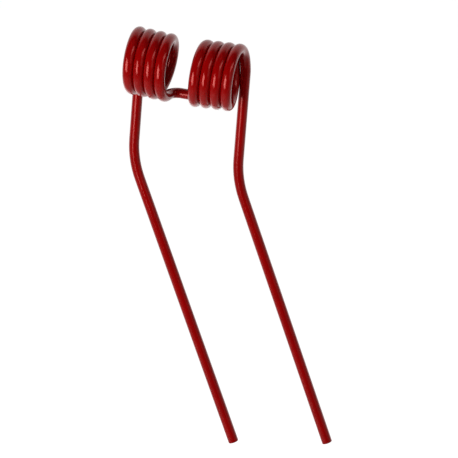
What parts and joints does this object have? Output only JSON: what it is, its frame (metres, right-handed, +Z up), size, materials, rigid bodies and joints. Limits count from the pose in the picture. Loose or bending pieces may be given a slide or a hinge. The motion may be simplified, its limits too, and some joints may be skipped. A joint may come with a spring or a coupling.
{
  "type": "rotary rake tine",
  "caption": "Double-coil spring steel tine for a rotary hay rake, with a bridge between the coils to clamp and long bent legs that sweep hay.",
  "frame": {"origin": "middle of the bridge between the coils, on the wire's centreline, where the rake's clamp holds the tine", "axes": "+X along the bridge from the left coil to the right one, +Z up from the legs to the coils, +Y from the coils' middles to the wire's plane, away from the side that the coils lie on"},
  "size_m": [0.219, 0.0631, 0.3928],
  "materials": {
    "red_paint": "gloss"
  },
  "bodies": {
    "root": {"rake_tine": "red_paint"}
  },
  "joints": []
}
